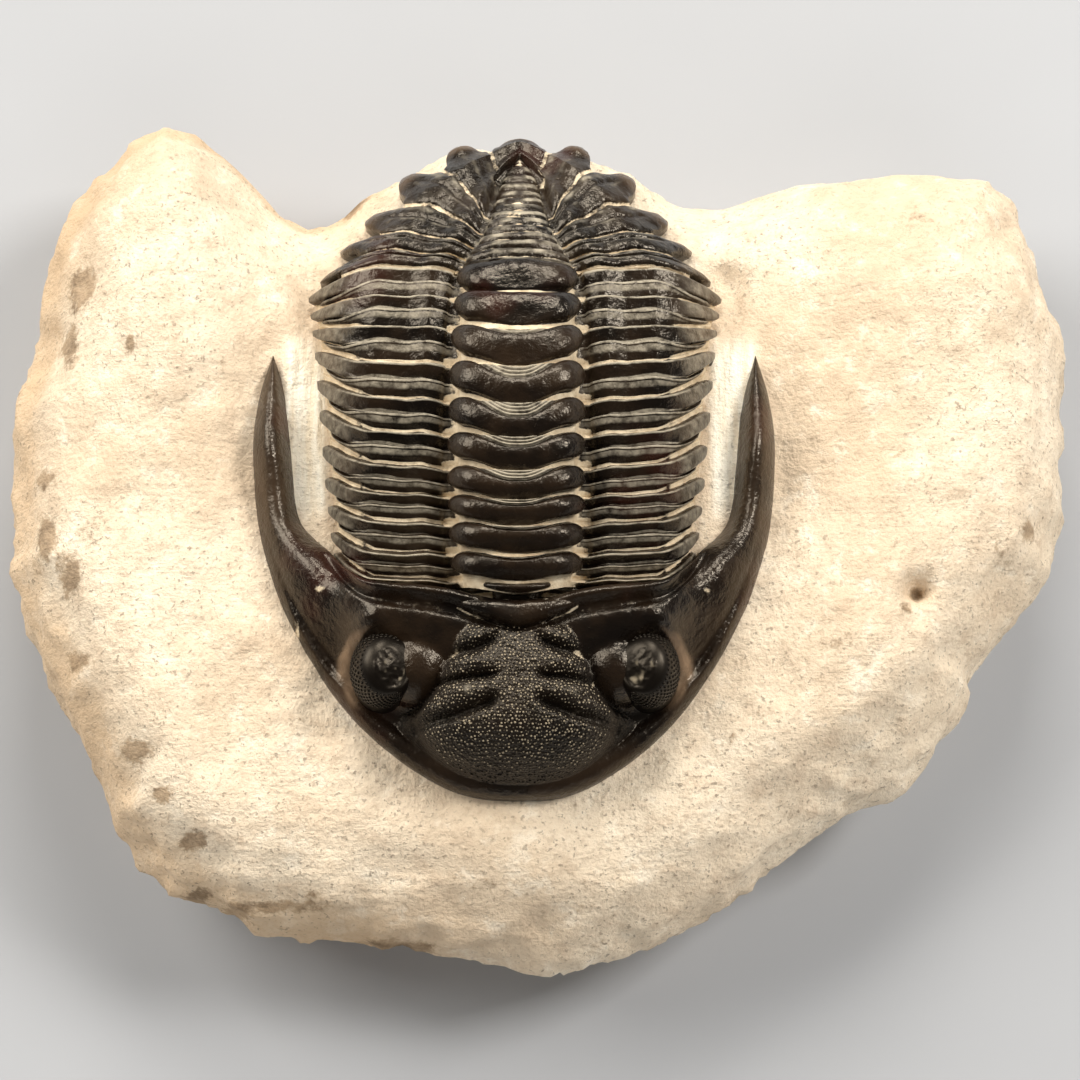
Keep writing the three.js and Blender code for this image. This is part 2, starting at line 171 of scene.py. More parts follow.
def plate(name, grid, floor, values, flip=False):
    """A sheet with walls down to the height floor, one number or one for each edge point."""
    cols, rows = grid.shape[:2]
    top = np.arange(cols * rows).reshape(cols, rows)
    foot = cols * rows + np.arange(cols * 2).reshape(cols, 2)
    base = grid[:, [0, -1]].copy()
    base[..., 2] = floor
    faces = quads(top) + quads(np.stack([foot[:, 0], top[:, 0]], -1))
    faces += quads(np.stack([top[:, -1], foot[:, 1]], -1)) + quads(foot[:, ::-1])
    faces.append([*top[0].tolist(), int(foot[0, 1]), int(foot[0, 0])])
    faces.append([*top[-1, ::-1].tolist(), int(foot[-1, 0]), int(foot[-1, 1])])
    points = np.concatenate([grid.reshape(-1, 3), base.reshape(-1, 3)])
    flat = {k: np.append(v, v[:, [0, -1]]) for k, v in values.items()}
    return mesh_object(name, points, [f[::-1] for f in faces] if flip else faces, flat)


def unit(vectors):
    """The same directions with length 1."""
    return vectors / np.maximum(np.linalg.norm(vectors, axis=-1, keepdims=True), 1e-9)


def raised(grid, height):
    """Moves a sheet's points along its own normals, which are the cross product of its two
    directions, taken to point up."""
    normal = unit(np.cross(*np.gradient(grid, axis=(0, 1))))
    return grid + normal * np.sign(normal[..., 2:]) * height[..., None]


def finish_piece(piece, material, slot, *nodes):
    """Gives a piece its material and ties it to the solids that it stands for."""
    piece.data.materials.append(material)
    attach(piece, "root")
    if nodes:
        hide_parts(*nodes)
    print(piece.name, len(piece.data.polygons), "faces")


print("3 by 3 points give", len(quads(np.arange(9).reshape(3, 3))), "quads")

# %% [markdown]
# ## Shader sums
# Materials are easier to read as sums than as boxes and wires. This class holds one output of a
# node tree. Plus, minus and times add Math nodes, and `node` adds any other node from its type, its
# settings and its inputs.

# %% Sockets as numbers


class Sock:
    """A socket to reckon with."""

    def __init__(self, tree, socket):
        self.tree = tree
        self.socket = socket

    def node(self, kind, settings, inputs, output=0):
        """Adds a node: first its settings, then its inputs, which are linked or set."""
        made = self.tree.nodes.new(kind)
        for key, value in settings.items():
            setattr(made, key, value)
        connect(made, inputs)
        return Sock(self.tree, made.outputs[output])

    def math(self, operation, a, b):
        return self.node("ShaderNodeMath", {"operation": operation}, {0: a, 1: b})

    def __add__(self, other):
        return self.math("ADD", self, other)

    __radd__ = __add__

    def __sub__(self, other):
        return self.math("SUBTRACT", self, other)

    def __rsub__(self, other):
        return self.math("SUBTRACT", other, self)

    def __mul__(self, other):
        return self.math("MULTIPLY", self, other)

    __rmul__ = __mul__

    def step(self, low, high):
        """0 below low, 1 above high, smooth between."""
        settings = {"interpolation_type": "SMOOTHSTEP"}
        return self.node("ShaderNodeMapRange", settings, {0: self, 1: low, 2: high})

    def paint(self, under, over):
        """The colour under where this is 0, the colour over where it is 1."""
        settings = {"data_type": "RGBA", "clamp_factor": True}
        return self.node("ShaderNodeMix", settings, {0: self, 6: rgba(under), 7: rgba(over)}, 2)

    def grain(self, scale, detail, roughness=0.55, stretch=None, turn=(0, 0, 0)):
        """Noise over this position, finer for a larger scale, and stretched along an axis."""
        place = self
        if stretch:
            mapping = {"Vector": self, "Rotation": turn, "Scale": stretch}
            place = self.node("ShaderNodeMapping", {}, mapping)
        inputs = {"Vector": place, "Scale": scale, "Detail": detail, "Roughness": roughness}
        return self.node("ShaderNodeTexNoise", {}, inputs)


def rgba(colour):
    """A colour as Blender wants it, or a socket as it is."""
    return colour if isinstance(colour, Sock) else (*colour, 1.0)


def new_material(name):
    """An empty material: its position on the piece, its shader, and a reader of attributes."""
    material = bpy.data.materials.new(name)
    material.use_nodes = True
    tree = material.node_tree
    shader = tree.nodes["Principled BSDF"]
    place = Sock(tree, tree.nodes.new("ShaderNodeTexCoord").outputs["Object"])

    def read(key):
        return place.node("ShaderNodeAttribute", {"attribute_name": key}, {}, "Fac")

    return material, shader, place, read


def connect(node, inputs):
    """Links sockets to a node's inputs, or sets plain values on them."""
    for key, value in inputs.items():
        if isinstance(value, Sock):
            value.tree.links.new(value.socket, node.inputs[key])
        else:
            node.inputs[key].default_value = value


# %% [markdown]
# ## The limestone's finish
# Cream stone, matt and slightly granular. Real prepared matrix shows warm and cool clouds, dark
# mineral specks, fine tool marks, and rusty stains near the slab's rim. The slab's sides are
# painted a darker tan towards its left.
# The mesh says where the stains and the gutter's scuffs are; noise breaks up their edges. The
# gutter's scuffs are painted pale: partly fresh scraped stone, partly a painted light against the
# shadow that the body and the cheek spine cast there.

# %% Limestone
limestone, shader, place, read = new_material("limestone")
clouds = place.grain(55, 4)
mottle = place.grain(420, 5, 0.7)
fine = place.grain(2300, 3, 0.7)
specks = place.grain(2500, 2, 0.6)
marks = place.grain(1, 3, 0.6, (150, 1500, 500), (0, 0, 0.6))
scrapes = place.grain(1, 3, 0.6, (1500, 170, 500), (0, 0, 0.3))
torn = place.grain(230, 5, 0.7)
stain = (1.3 * read("stain") + 3.2 * torn + 0.8 * fine - 2.2).step(0.15, 0.75)
scuff_and_painted_light = read("scuff_and_painted_light")
# Darker tan painted on the slab's sides towards its left.
left_side_tan = (read("rim") + 0.8 * torn - 0.4).step(0.35, 0.9)
cream = clouds.step(0.32, 0.68).paint((0.66, 0.51, 0.35), (0.80, 0.67, 0.50))
cream = (mottle.step(0.50, 0.68) * 0.5).paint(cream, (0.54, 0.40, 0.27))
cream = ((1.0 - mottle).step(0.52, 0.68) * 0.55).paint(cream, (0.90, 0.80, 0.64))
cream = (fine.step(0.52, 0.66) * 0.4).paint(cream, (0.46, 0.34, 0.23))
cream = (marks.step(0.54, 0.70) * 0.25).paint(cream, (0.55, 0.41, 0.28))
cream = (left_side_tan * 0.55).paint(cream, (0.56, 0.37, 0.20))
# Fresh scraped stone, made paler still as a painted light in the gutter's cast shadow.
fresh_and_lit = scrapes.step(0.3, 0.65).paint((0.84, 0.72, 0.53), (0.98, 0.92, 0.77))
rust = mottle.step(0.4, 0.65).paint((0.38, 0.26, 0.15), (0.16, 0.10, 0.05))
cream = (scuff_and_painted_light * 0.85).paint(cream, fresh_and_lit)
cream = (specks.step(0.60, 0.69) * clouds.step(0.25, 0.6) * 0.6).paint(cream, (0.17, 0.13, 0.09))
cream = (stain * 0.85).paint(cream, rust)
relief = mottle * 0.8 + fine * 0.5 + marks * 0.3 + scrapes * scuff_and_painted_light * 0.7 + specks * 0.3
bump = place.node("ShaderNodeBump", {}, {"Strength": 0.6, "Distance": 0.0006, "Height": relief})
connect(shader, {"Base Color": cream, "Roughness": 0.78 + 0.2 * fine, "Normal": bump})
print("limestone has", len(limestone.node_tree.nodes), "nodes")

# %% [markdown]
# ## The shell's finish
# The armour is calcite stained almost black. It has a dull gloss, goes brown and here and there
# dark red where it is thin, and holds pale stone in its grooves. The mesh says how deep each point
# lies in a groove; the material breaks that up with noise, so the filling has a torn edge.

# %% Shell
shell, shader, place, read = new_material("shell")
clouds = place.grain(170, 4)
fine = place.grain(1600, 3, 0.65)
flecks = place.grain(800, 4, 0.7)
pores = place.node("ShaderNodeTexVoronoi", {}, {"Vector": place, "Scale": 3800})
groove, grainy = read("filling"), read("grainy")
filling = (groove + 1.1 * flecks - 0.55).step(0.42, 0.62)
dust = (groove * 0.4 + fine).step(0.66, 0.9)
dark = clouds.step(0.35, 0.7).paint((0.0035, 0.0022, 0.0017), (0.020, 0.011, 0.0055))
dark = (place.grain(110, 2).step(0.57, 0.68) * 0.7).paint(dark, (0.030, 0.007, 0.004))
# Brown where the shell is thin; on the tail's spines it is partly painted light shining through
# from behind.
dark = (read("brown") * (0.6 + 0.8 * clouds)).step(0.15, 1.1).paint(dark, (0.23, 0.15, 0.09))
# Pale where the shell is worn, and on the ribs a painted highlight along the crests and a lit
# facet.
wear_and_highlight = (read("wear_and_highlight") * (1.6 * flecks + 1.2 * fine - 0.4)).step(0.1, 1.0)
dark = (grainy * 0.6).paint(dark, (0.002, 0.0014, 0.001))
dark = wear_and_highlight.paint(dark, (0.38, 0.33, 0.245))
dark = (dust * 0.3).paint(dark, (0.30, 0.24, 0.16))
pale = flecks.step(0.3, 0.75).paint((0.50, 0.38, 0.24), (0.78, 0.66, 0.47))
bare = 0.17 + 0.2 * clouds + 0.3 * dust + 0.35 * wear_and_highlight + 0.2 * grainy
roughness = bare + filling * (0.9 - bare)
height = fine + flecks * (0.5 + 1.2 * filling) - 1.5 * pores * grainy
bump = place.node("ShaderNodeBump", {}, {"Strength": 0.45, "Distance": 0.0002, "Height": height})
connect(shader, {"Base Color": filling.paint(dark, pale), "Roughness": roughness, "Normal": bump})
connect(shader, {"Specular IOR Level": 0.5, "Specular Tint": (1.0, 0.88, 0.72, 1.0)})
print("shell has", len(shell.node_tree.nodes), "nodes")

# %% [markdown]
# ## The camera and the light
# The photograph looks down on the slab from the head's side, fifteen degrees off the vertical,
# through a long lens. Broad lamps stand low on both sides and beyond the tail: they streak the
# flanks of each ring and leave its top black, and they rake over the stone's grain. A weak one in
# front only lifts the shadows: it is kept out of reflections, so the brow stays black.

# %% Camera, lights and floor
ELEVATION = math.radians(75)
DISTANCE = 0.225
AIM_Y, AIM_Z = -0.0024, 0.018
LAMP_AIM = (0, 0, 0.02)

camera = bpy.data.objects.new("camera", bpy.data.cameras.new("camera"))
camera.data.lens = 100
camera.data.sensor_width = 36
level, up = DISTANCE * math.cos(ELEVATION), DISTANCE * math.sin(ELEVATION)
camera.location = (0, AIM_Y - level, AIM_Z + up)
camera.rotation_euler = (math.pi / 2 - ELEVATION, 0, 0)
camera.data.clip_start = 0.01
bpy.context.scene.collection.objects.link(camera)
bpy.context.scene.camera = camera
bpy.context.scene.view_settings.view_transform = "Standard"


def softbox(name, location, size, power, colour=(1, 1, 1)):
    """A square lamp at one point, turned to face the animal."""
    lamp = bpy.data.lights.new(name, "AREA")
    lamp.size = size
    lamp.energy = power
    lamp.color = colour
    made = bpy.data.objects.new(name, lamp)
    made.location = location
    x, y, z = np.subtract(location, LAMP_AIM)
    made.rotation_euler = (math.atan2(math.hypot(x, y), z), 0, math.atan2(x, -y))
    bpy.context.scene.collection.objects.link(made)
    return made


softbox("left_lamp", (-0.36, 0.20, 0.30), 0.34, 2.9, (1.0, 0.97, 0.92))
softbox("right_lamp", (0.34, 0.14, 0.36), 0.16, 2.2, (1.0, 0.98, 0.95))
softbox("tail_lamp", (0.02, 0.42, 0.34), 0.20, 1.9, (1.0, 0.97, 0.92))
softbox("front_lamp", (0.10, -0.60, 0.36), 0.60, 1.8).visible_glossy = False
world = bpy.data.worlds.new("studio")
world.use_nodes = True
background = {"Color": (1.0, 0.98, 0.95, 1.0), "Strength": 0.08}
connect(world.node_tree.nodes["Background"], background)
bpy.context.scene.world = world

corners = np.array([(-1, -1, 0), (1, -1, 0), (1, 1, 0), (-1, 1, 0)]) / MM
floor = mesh_object("floor", corners, [(0, 1, 2, 3)], {})
paper, shader, place, read = new_material("paper")
tone = place.grain(40, 2).paint((0.38, 0.385, 0.395), (0.41, 0.415, 0.425))
connect(shader, {"Base Color": tone, "Roughness": 0.9})
floor.data.materials.append(paper)
print("camera at", tuple(round(v, 4) for v in camera.location))

# %% [markdown]
# ## The body's lines
# Each body segment hangs on four lines: the crest of its ring, the furrow beside the ring, the
# fulcrum where the rib bends down, and the rib's tip. Between them the rib is an arch, a nearly
# flat stretch and a falling curve. Stations 1 to 11 are the segments.

# %% Ribs
AXIS_X = -1.6  # the animal's midline on the slab
LEAN = 0.02  # its right side is this share wider, its left narrower
RING_Y = [-9.9, -8.4, -6.8, -4.6, -2.6, -0.65, 1.8, 4.3, 7.15, 10.3, 13.45, 16.5, 19.4]
RING_BACK = [1.0, 1.0, 1.0, 1.0, 1.05, 1.1, 1.1, 1.1, 1.1, 1.0, 0.7, 0.3, 0.0]
TIP_Y = [-5.1, -3.8, -2.3, -0.4, 1.7, 4.2, 6.9, 9.5, 11.9, 13.9, 15.5, 17.1, 18.9]
RING_SHARE, BEND_SHARE = 0.36, 0.68
RING_HEIGHT = 3.0
TOP_Y, TOP_Z = 4.0, 27.35  # the highest point of the back
FALL_AHEAD, FALL_BEHIND = 0.0148, 0.021
FULCRUM_X = 10.4
MIDDLE = 6
PLATE_FLOOR = 15.3


def placed(x, y, z):
    """The animal's own x, from its midline, becomes the slab's x, wider on its right side."""
    return np.stack(np.broadcast_arrays(AXIS_X + x * (1 - LEAN * np.sign(x)), y, z), -1)


def body_lines(station):
    """Ring half-width, crest, furrow, fulcrum and tip at each station. The crest's height falls
    with the square of the distance from its highest point. The ring's ends lie further back than
    its middle by RING_BACK, which gives it the outline of a kidney."""
    share, off = station / (len(RING_Y) - 1), station - MIDDLE
    y = spline(RING_Y, share)
    behind = y - TOP_Y
    fall = np.where(behind < 0, FALL_AHEAD, FALL_BEHIND)
    z = TOP_Z - fall * behind**2
    drop = RING_HEIGHT * np.cos(np.arctan(-2 * fall * behind))
    furrow_y = y + spline(RING_BACK, share)
    tip_z = 18.6 - np.where(off < 0, 0.014, 0.09) * off**2
    return {
        "half": 5.2 - 0.02 * off**2,
        "crest": (y, z),
        "furrow": (furrow_y, z - drop),
        "fulcrum": (FULCRUM_X + 0 * y, furrow_y + 0.5, z - 1.1 * drop),
        "tip": (13.5 + 0.24 * (station - 1), spline(TIP_Y, share), tip_z),
    }


def rib(lines, across, reach=1.0):
    """Points of a rib. Across runs from -1 at one tip to 1 at the other: up to RING_SHARE the
    arched ring, up to BEND_SHARE the flat stretch with a slight hump, then the falling end."""
    side, q = np.sign(across), np.abs(across)
    half, crest, furrow, fulcrum, tip = lines.values()
    t = np.clip(q / RING_SHARE, 0, 1)
    fall = (1 - np.sqrt(1 - 0.96 * t**2.4)) / 0.8
    ring = (half * t, mix(crest[0], furrow[0], t * t), mix(crest[1], furrow[1], fall))
    t = np.clip((q - RING_SHARE) / (BEND_SHARE - RING_SHARE), 0, 1)
    hump = 0.5 * np.sin(np.pi * np.minimum(1, 1.6 * t)) ** 2
    flat_z = mix(furrow[1], fulcrum[2], t) + hump
    flat = (mix(half, fulcrum[0], t), mix(furrow[0], fulcrum[1], t), flat_z)
    t = reach * np.clip((q - BEND_SHARE) / (1 - BEND_SHARE), 0, None)
    falling = (mix(a, b, t**1.7) for a, b in zip(fulcrum[1:], tip[1:]))
    end = (mix(fulcrum[0], tip[0], t), *falling)
    x, y, z = (
        np.where(q <= RING_SHARE, a, np.where(q <= BEND_SHARE, b, c))
        for a, b, c in zip(ring, flat, end)
    )
    return side * x, y, z


print("crest at station 6:", [round(float(v), 2) for v in body_lines(np.array(6.0))["crest"]])

# %% [markdown]
# ## The eleven segments
# From above each segment is a glossy bean in the middle, bent forward between its two swollen ends,
# and on each side a rib of two ridges with a dark furrow between them. Each ridge drops at once
# behind its crest and slopes gently in front of it, so the light draws the crest as a thin line.

# %% A ring and its ribs
ACROSS = np.concatenate([
    np.linspace(-1, -0.42, 80), np.linspace(-0.412, 0.412, 99), np.linspace(0.42, 1, 80),
])
BEND = [0.0, 0.06, 0.12, 0.2, 0.27, 0.3, 0.36, 0.3, 0.16, 0.02, -0.05]
LINE_GAP = 0.1
COLUMNS = 63  # to a station


def ring_relief(q, at, number):
    """The bean: an arch between its two edges, whose middle lies further forward by BEND and climbs
    from the front to a crest at the back. Behind the middle show the fine lines of the half ring
    that the next segment pushes under this one. The first ring is a small lens in the stone."""
    bent, first = BEND[number - 1], number == 1
    middle = smooth(0.26, 0.03, q)
    end = dome(q / 0.22) if first else dome(np.clip((q - 0.285) / 0.07, 0, 1))
    wide = np.maximum((0.19 if first else 0.41 - 0.25 * bent * middle) * end, 1e-3)
    place = (0.28 if first else 0.07) - bent * middle
    u = (at - place) / wide
    ramp = smooth(-1.1, 0.6, u) * smooth(1.0, 0.86, u)
    tall = 0.7 * end if first else 0.85 + 0.28 * bell((q - 0.24) / 0.08)
    bean = mix(dome(u) ** 0.6, ramp, 0.8 * middle) * tall
    behind = at - place - wide
    wave = np.cos(2 * np.pi * behind / LINE_GAP)
    lines = smooth(0, 0.03, behind) * smooth(0.27, 0.15, q) * smooth(0.5, 0.44, at) * (not first)
    filled = smooth(0, 0.045, np.abs(at - place) - wide) * (1 - 0.85 * lines)
    height = np.maximum(bean, lines * (0.36 + 0.07 * wave))
    if first:
        filled = np.maximum(filled, smooth(0.17, 0.22, q)) * smooth(0.02, 0.08, at)
        height = height - 2.2 * smooth(0.04, -0.22, at)
    return height, filled, lines * (0.65 + 0.35 * wave)


def rib_relief(q, at):
    """Two ridges like the teeth of a saw: each drops at once behind its crest and slopes gently in
    front of it. Towards the tip the rear one widens to a flat finger with a round end, and the
    front one thins to a sliver between two fingers. The crests, a facet of the front ridge and the
    fingers' tops are painted pale: painted highlights."""
    close = smooth(0.68, 0.9, q)
    round_end = np.maximum(dome(np.clip((q - 0.98) / 0.03, 0, 1)), 0.05)
    d = at - 0.33
    tooth = np.clip(np.where(d > 0, 1 - d / 0.09, 1 + d / 0.4), 0, 1)
    finger = np.clip(1 - np.abs((at - 0.07) / 0.32 / round_end) ** 6, 0, 1) ** 0.5
    rear = mix(0.8 * tooth, 0.65 * finger, close)
    e = at + mix(0.07, 0.33, close)
    thin = mix(1.0, 0.35, close)
    slope = np.clip(np.where(e > 0, 1 - e / 0.07, 1 + e / (0.42 * thin)), 0, 1)
    front = mix(0.62, 0.5, close) * slope**0.8 * smooth(1.0, 0.93, q)
    height = np.maximum(rear, front)
    filled = np.maximum(smooth(0.42, 0.45, at), smooth(-0.47, -0.5, at)) * (1 - close)
    filled = np.maximum(filled, close * smooth(0.2, 0.06, height))
    # Painted highlights: the crest line, a facet of the front ridge and the fingers' tops are
    # painted pale.
    crest = 0.85 * smooth(0.27, 0.31, at) * smooth(0.37, 0.34, at) * (1 - close)
    crest = crest + 0.4 * close * smooth(0.3, 0.6, rear)
    strip = 0.05 + 0.09 * bell((q - 0.66) / 0.16)
    second = 0.75 * smooth(-0.06, -0.04, e) * smooth(strip + 0.02, strip, e)
    second = second * (1 - smooth(0, 0.015, e) * smooth(0.075, 0.06, e))
    facet = 0.5 * smooth(-0.3 * thin, -0.18 * thin, e) * smooth(-0.07, -0.09, e)
    before_tip = smooth(0.99, 0.94, q)
    return height, filled, np.maximum(crest, (second + facet) * before_tip)


print("crest of a ring:", ring_relief(np.array(0.24), np.array(0.09), 6)[0].round(2))

# %% [markdown]
# A segment is one plate over both ribs and the ring. The relief is added along the plate's own
# normal, with a little noise, because a prepared shell is never quite smooth.

# %% Segments
across = ACROSS[:, None]
q = np.abs(across)
on_ring = smooth(RING_SHARE + 0.018, RING_SHARE - 0.018, q)
furrow = bell((q - RING_SHARE) / 0.018)
narrow = 1 - 0.2 * smooth(0.9, 1.0, q) ** 2
for number in range(1, 12):
    share = np.arange(-42 if number == 1 else -33, 44 if number == 11 else 34)[None, :] / COLUMNS
    x, y, z = rib(body_lines(number + share * narrow), across)
    at = share - 0.035 * noise(5 * across, 0, 3 * number, 1.0, 40)
    torn = noise(14 * across, 6 * share, 5 * number, 1.0, 41)
    bean, in_ring, worn_ring = ring_relief(q, at, number)
    ribs, in_rib, rib_highlight = rib_relief(q, at + 0.02 * torn)
    height = mix(ribs, bean, on_ring) - 0.6 - 0.3 * furrow - 1.3 * smooth(0.5, 0.6, share)
    height = height + 0.035 * noise(x, y, z, 1.3, 50) + 0.02 * noise(x, y, z, 0.5, 51)
    silt = furrow * (0.2 + 0.7 * smooth(0.25, 0.42, np.abs(share)))
    filling = np.maximum(mix(in_rib, in_ring, on_ring), silt)
    brown = 0.3 * smooth(0.75, 0.95, q) + 0 * filling
    values = {"filling": filling, "wear_and_highlight": mix(rib_highlight, worn_ring, on_ring), "brown": brown}
    grid = raised(placed(x, y, z), height)
    made = plate(f"segment_{number:02d}", grid, PLATE_FLOOR, values)
    finish_piece(made, shell, "shell", f"thoracic_segment_{number:02d}")

# %% [markdown]
# ## The tail shield
# The tail carries on the body's lines, but its ribs are fused and sweep backwards from a narrowing
# axis. Five ribs on each side end in blunt spines, and one more spine stands at the very end. The
# spines are the sheet's own scalloped edge, rounded across and turned up at the tips.

# %% Tail
TAIL_CREST = [[17.95, 23.4], [21.0, 21.6], [24.3, 19.0], [27.4, 16.0], [29.6, 13.8]]
TAIL_ROOTS = [17.95, 18.6, 19.9, 21.4, 22.9, 25.0, 29.6]
TAIL_HALF = [
    [17.0, 4.4], [19.2, 3.8], [21.4, 3.1], [23.6, 2.45], [25.8, 1.9], [28.0, 1.3], [29.7, 0.0],
]
TAIL_SPINES = [
    [15.06, 19.0, 15.6], [13.66, 21.6, 15.0], [11.8, 24.4, 14.3], [9.1, 28.2, 13.6],
    [4.9, 31.1, 13.1], [0.03, 32.0, 12.8],
]
TAIL_FRONT = 11.57  # the body's station there
TAIL_ROWS = 330


def along(points, y):
    """The second value of a smooth curve through points, looked up by its first value."""
    curve = spline(points, np.linspace(0, 1, 400))
    return np.interp(y, curve[:, 0], curve[:, 1])


def tail_station(back):
    """The spines are stations 0 to 5; the tail starts half a station ahead of the first."""
    return 5.5 * back - 0.5


def tail_spread(back):
    """The tail's own lines. Each rib leaves the axis at its root and bows back to its spine. The
    axis ends in a low knob."""
    at = tail_station(back)
    knob = smooth(0.86, 1.0, back)
    t = np.where(at < 0, 2 * (at + 0.5), at + 1) / 6
    start = np.array(body_lines(np.array(TAIL_FRONT))["tip"])
    margin = np.concatenate([[start], TAIL_SPINES])
    mx, my, mz = np.moveaxis(spline(margin, t), -1, 0)
    y = spline(TAIL_ROOTS, t)
    half = along(TAIL_HALF, y)
    height = mix(2.3, 0.5, np.clip((y - 18) / 11.6, 0, 1))
    crest = (y, along(TAIL_CREST, y) + 1.2 * knob)
    furrow = (y - 0.2 * height, crest[1] - 0.85 * height)
    fulcrum_z = mix(furrow[1], mz, 0.30) + 0.6 * knob
    fulcrum = (mix(half, mx, 0.52), mix(furrow[0], my, 0.66), fulcrum_z)
    tip = (mx, my, mz)
    return {"half": half, "crest": crest, "furrow": furrow, "fulcrum": fulcrum, "tip": tip}


def tail_lines(back):
    """The same lines, shifted at the front to meet the last segment's. The shift fades out."""
    own, start = tail_spread(back), tail_spread(np.array(0.0))
    front = body_lines(np.array(TAIL_FRONT))
    early = smooth(0.5, 0, back)
    own["half"] = own["half"] + (front["half"] - start["half"]) * early
    for key in ("crest", "furrow", "fulcrum"):
        own[key] = tuple(a + (b - c) * early for a, b, c in zip(own[key], front[key], start[key]))
    return own


def tail_sheet():
    """The ribs are flat bands, one to each station, each parted by a shallow groove; the axis has
    fine rings. The sheet's reach is a row of half circles, whose tops are the spines' tips."""
    back = np.linspace(0, 1, TAIL_ROWS)[:, None]
    across = ACROSS[None, :]
    q = np.abs(across)
    at = tail_station(back)
    off = at - np.round(at)
    spine = np.clip(1 - np.abs(off / 0.35) ** 1.7, 0, 1) ** 0.7
    reach = 0.56 + 0.44 * spine
    x, y, z = rib(tail_lines(back), across, reach)
    out = reach * np.clip((q - BEND_SHARE) / (1 - BEND_SHARE), 0, 1)
    free = smooth(0.5, 0.9, out)
    turned_up = mix(0.35, 0.9, back) * smooth(1.1, 0.85, back) * spine
    z = z + free * (turned_up - 0.75 * (off / 0.38) ** 2 - 0.3 * smooth(0.9, 1.0, out))
    wave = 0.15 * noise(x, y, z, 1.8, 61) + 0.06 * noise(x, y, z, 0.6, 63)
    rings = np.abs(np.cos(np.pi * ((y - 18.2) / 0.85 + wave))) ** 0.8
    band = np.clip(1 - np.abs((off + 0.4 * wave) / 0.46) ** 4, 0, 1) ** 0.5
    groove = bell((off - 0.1 + 0.3 * wave) / 0.06) * smooth(0.7, 0.4, out) * smooth(0.95, 0.6, back)
    strip = np.maximum(bell((off - 0.34) / 0.08), 0.6 * bell(off / 0.05))
    on_ring = smooth(RING_SHARE + 0.01, RING_SHARE - 0.01, q)
    furrow = bell((q - RING_SHARE) / 0.025) * smooth(0.95, 0.7, back)
    fade = 1 - 0.55 * back
    height = mix(0.5 * band - 0.22 * groove, 0.33 * rings, on_ring) * fade
    height = height - 0.35 - 0.35 * furrow * fade
    height = height + 0.04 * rough(x, y, z, 1.2, 62) + 0.02 * noise(x, y, z, 0.4, 66)
    filling = mix(smooth(0.5, 0.2, band) * 0.75, smooth(0.45, 0.1, rings) * 0.5, on_ring)
    crumbs = 0.8 * bell(across / 0.2) * smooth(0.15, 0.45, back) * noise(x, y, z, 0.7, 64)
    crease = 0.3 * bell((out - 0.5) / 0.12) * smooth(0.08, 0.2, back)
    crease = crease * (0.4 + noise(x, y, z, 0.9, 67))
    filling = np.clip(filling * (1 - 0.4 * back) + 0.4 * furrow * fade + crumbs + crease, 0, 1)
    height = height * (1 - 0.6 * free)
    upright = smooth(0.93, 0.99, back)
    grid = raised(placed(x, y, z + height * upright), height * (1 - upright))
    pale = mix(strip * fade, smooth(0.6, 0.9, rings), on_ring)
    wear_and_highlight = 0.16 + 0.5 * pale * (0.5 + 1.2 * noise(x, y, z, 0.8, 68))
    wear_and_highlight = np.clip(wear_and_highlight, 0, 1) * (1 - free)
    # The spines' brown is partly their own colour and partly painted light, standing in for light
    # shining through them from behind.
    return grid, {"filling": filling, "wear_and_highlight": wear_and_highlight, "brown": mix(0.35, 0.6, back) * free}


grid, values = tail_sheet()
tips = tail_lines(np.linspace(0, 1, TAIL_ROWS))["tip"][2][:, None]
foot = np.minimum(grid[:, [0, -1], 2] - 1.6, tips - 1.3)
finish_piece(plate("tail_sheet", grid, foot, values, True), shell, "shell", "pygidium")

# %% [markdown]
# ## The head shield
# The head is drawn between two lines: its outer edge, from one cheek spine's tip round the front to
# the other, and its inner edge, up the spine and along the first segment. On that sheet lie a
# rolled rim, sloping cheeks, a raised band along the rear, and the lobed middle part.

# %% The head's sheet
HEAD_MARGIN = np.array([
    [18.45, 12.5], [19.5, 8.8], [19.9, 4.5], [19.1, -2.5], [16.4, -9.5], [11.6, -16.3],
    [5.5, -20.8], [0.0, -21.85],
])
WHOLE_MARGIN = np.concatenate([HEAD_MARGIN, HEAD_MARGIN[-2::-1] * [-1, 1]])
SPINE_INNER = [
    [18.45, 12.5, 17.2], [17.3, 8.6, 17.2], [16.7, 3.6, 17.2], [16.3, 0.4, 17.3],
    [15.2, -1.9, 17.6],
]
HEAD_REAR = [1.0, 0.75, 0.42, 0.0]
ROUNDS = 60


def head_edges(turn):
    """The outer edge, and the inner one with its height. Turn is 0 and 1 at the spines' tips, 0.5
    at the front. The inner edge climbs over the first segment, just ahead of its ring, and is then
    evened out by averaging neighbours."""
    outer = spline(WHOLE_MARGIN, turn)
    side = np.where(turn <= 0.5, 1.0, -1.0)
    place = 7 * (1 - np.abs(2 * turn - 1))
    across = np.interp(place, [4, 5, 6, 7], HEAD_REAR)
    seat = np.stack(rib(body_lines(np.full_like(turn, 1.0)), across), -1)
    last = np.stack(rib(body_lines(np.array(1.0)), np.array(HEAD_REAR[0])), -1)
    spine = spline(np.concatenate([SPINE_INNER, [last]]), np.clip(place / 4, 0, 1))
    inner = np.where((place < 4)[..., None], spine, seat)
    inner[:, 0] *= side
    for _ in range(ROUNDS):
        inner[1:-1] = (inner[:-2] + 2 * inner[1:-1] + inner[2:]) / 4
    return outer, inner


print("head edges at the front:", head_edges(np.array([0.5])))

# %% [markdown]
# The middle part is one pad: narrow behind, wide over the brow, falling steeply at the front. Three
# pairs of furrows are cut into it from the sides, and the neck ring lies behind it, bent forward in
# the middle.

